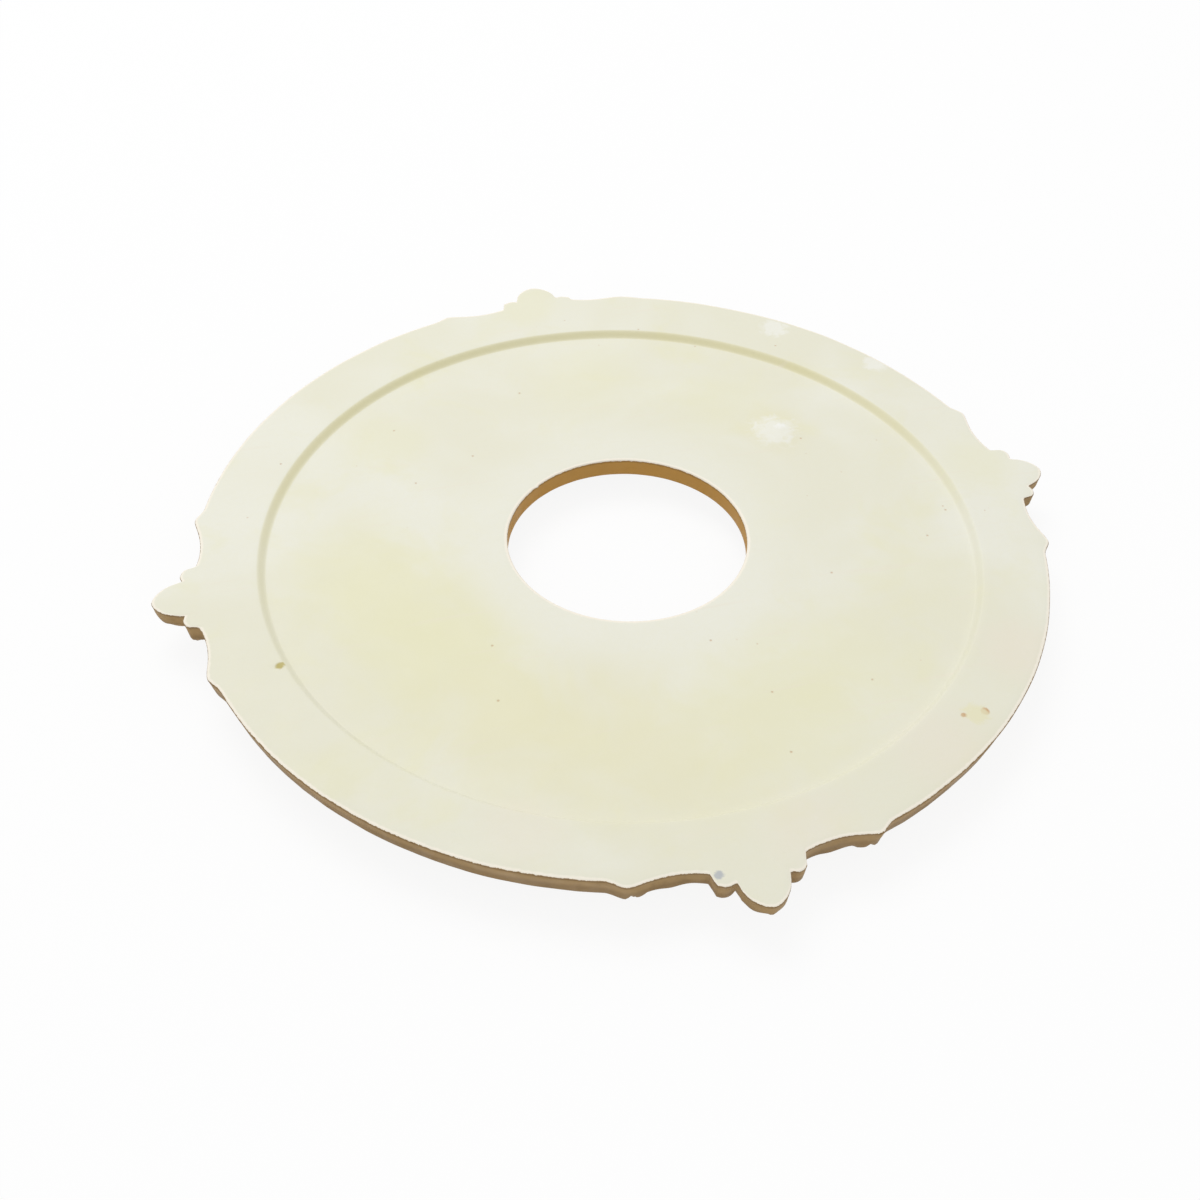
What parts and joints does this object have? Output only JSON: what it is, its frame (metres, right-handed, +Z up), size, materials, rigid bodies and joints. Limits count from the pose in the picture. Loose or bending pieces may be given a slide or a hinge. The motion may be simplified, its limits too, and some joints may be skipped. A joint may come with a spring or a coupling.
{
  "type": "ceiling rose",
  "caption": "Round moulded ceiling rose with a recessed flat back, a plain centre hole, ring mouldings and crowned leaf and scroll groups overlapping its rim.",
  "frame": {"origin": "middle of the rose, in the plane of its flat back, where it meets the ceiling", "axes": "+Z up, out of the flat back towards the ceiling; +X and +Y each through the tip of a rim leaf; the ornament hangs towards -Z"},
  "size_m": [0.4058, 0.4058, 0.0238],
  "materials": {
    "casting": "bare cream moulded back, tan-brown painted edges, hole and front"
  },
  "bodies": {
    "root": {"ceiling_rose": "casting"}
  },
  "joints": []
}
